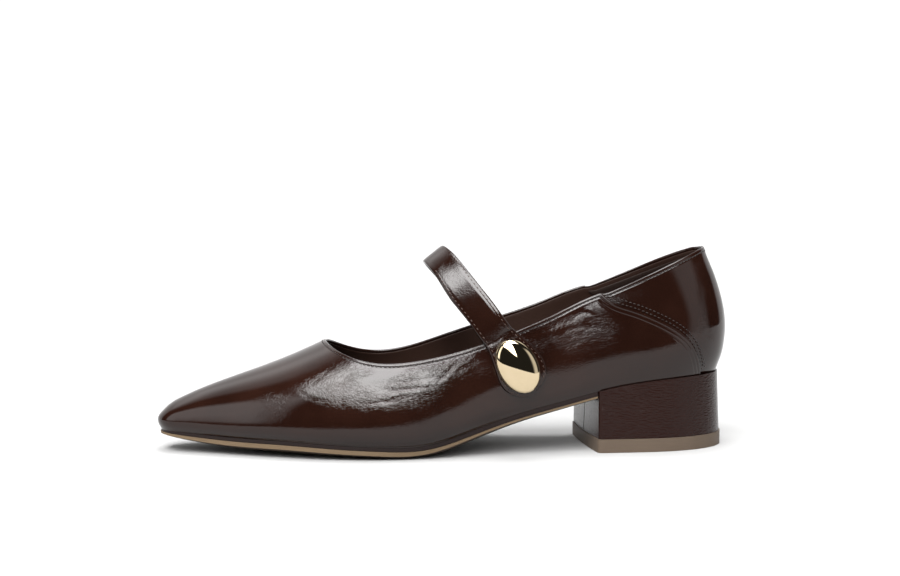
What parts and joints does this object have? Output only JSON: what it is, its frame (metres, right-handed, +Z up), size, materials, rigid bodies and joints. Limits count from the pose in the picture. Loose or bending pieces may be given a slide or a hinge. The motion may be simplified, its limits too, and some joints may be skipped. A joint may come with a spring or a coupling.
{
  "type": "mary jane pump",
  "caption": "Left pointed-toe pump with a low block heel, an instep strap that ends in a rounded tab under an oval dome button, and an open collar.",
  "frame": {"origin": "middle of the shoe's box on the ground plane", "axes": "+X from toe to heel, +Y to the inner side of the left foot, +Z up"},
  "size_m": [0.257, 0.0783, 0.0903],
  "materials": {
    "upper_leather": "gloss",
    "insole_leather": "matte",
    "edge_leather": "satin",
    "outsole_rubber": "matte",
    "heel_leather": "satin",
    "top_piece_rubber": "matte",
    "strap_leather": "gloss",
    "button_metal": "polished"
  },
  "bodies": {
    "root": {"upper": "upper_leather", "insole": "insole_leather", "midsole": "edge_leather", "outsole": "outsole_rubber", "heel": "heel_leather", "top_piece": "top_piece_rubber", "strap": "strap_leather", "button": "button_metal"}
  },
  "joints": []
}
